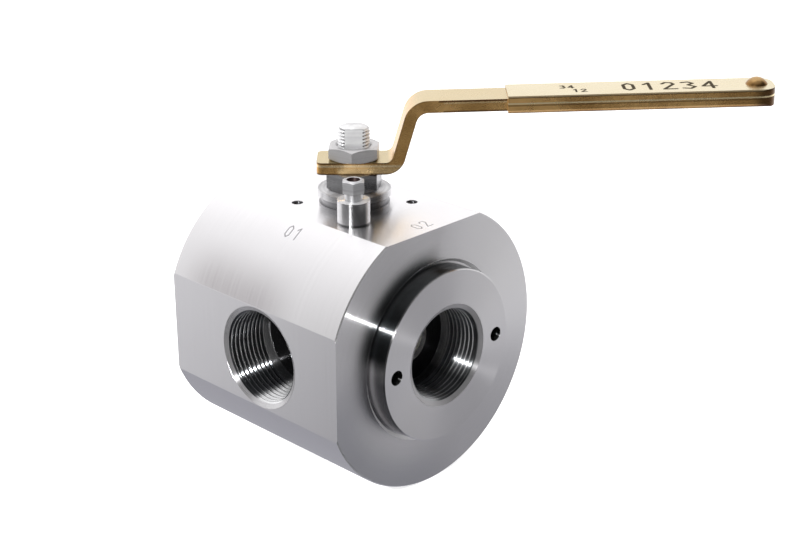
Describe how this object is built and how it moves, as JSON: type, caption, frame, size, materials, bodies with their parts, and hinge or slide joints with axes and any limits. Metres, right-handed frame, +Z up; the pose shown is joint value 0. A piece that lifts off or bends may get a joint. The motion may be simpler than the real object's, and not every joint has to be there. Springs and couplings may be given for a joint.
{
  "type": "four-way ball valve",
  "caption": "High pressure multiway ball valve turned from round bar, with threaded ports, a screwed end connector and a cranked hand lever.",
  "frame": {"origin": "centre of the actuator pad on the top flat, on the stem axis", "axes": "+Z up the stem, +X out of the screwed end connector, -Y out of the port in the milled side flat"},
  "size_m": [0.1865, 0.1885, 0.1736],
  "materials": {
    "turned_steel": "fine turned and milled stainless steel",
    "plated_steel": "bright zinc-plated steel",
    "dark_steel": "dark steel",
    "polished_ball": "polished",
    "lever_gold": "yellow passivated zinc plating, satin",
    "seat_plastic": "matte",
    "seal_rubber": "matte"
  },
  "bodies": {
    "housing": {"body": "turned_steel", "end_connector": "turned_steel", "connector_seal": "seal_rubber", "seat_end": "seat_plastic", "seat_back_end": "seat_plastic", "seat_left": "seat_plastic", "seat_right": "seat_plastic", "seat_seal_end": "seal_rubber", "seat_seal_back": "seal_rubber", "seat_seal_left": "seal_rubber", "seat_seal_right": "seal_rubber", "thrust_washer": "seat_plastic", "wear_ring": "dark_steel", "stop_sleeve_front": "turned_steel", "stop_screw_front": "plated_steel", "stop_sleeve_rear": "turned_steel", "stop_screw_rear": "plated_steel"},
    "spindle": {"stem": "plated_steel", "ball": "polished_ball", "stem_seal_lower": "seal_rubber", "stem_seal_upper": "seal_rubber", "cover_disc": "plated_steel", "lower_nut": "plated_steel", "lever": "lever_gold", "grip": "lever_gold", "grip_rivet": "lever_gold", "lever_nut": "plated_steel"}
  },
  "joints": [
    {"name": "lever_turn", "type": "hinge", "parent": "housing", "child": "spindle", "pos_m": [0, 0, 0], "axis": [0, 0, 1], "range_deg": [-45, 45]}
  ]
}
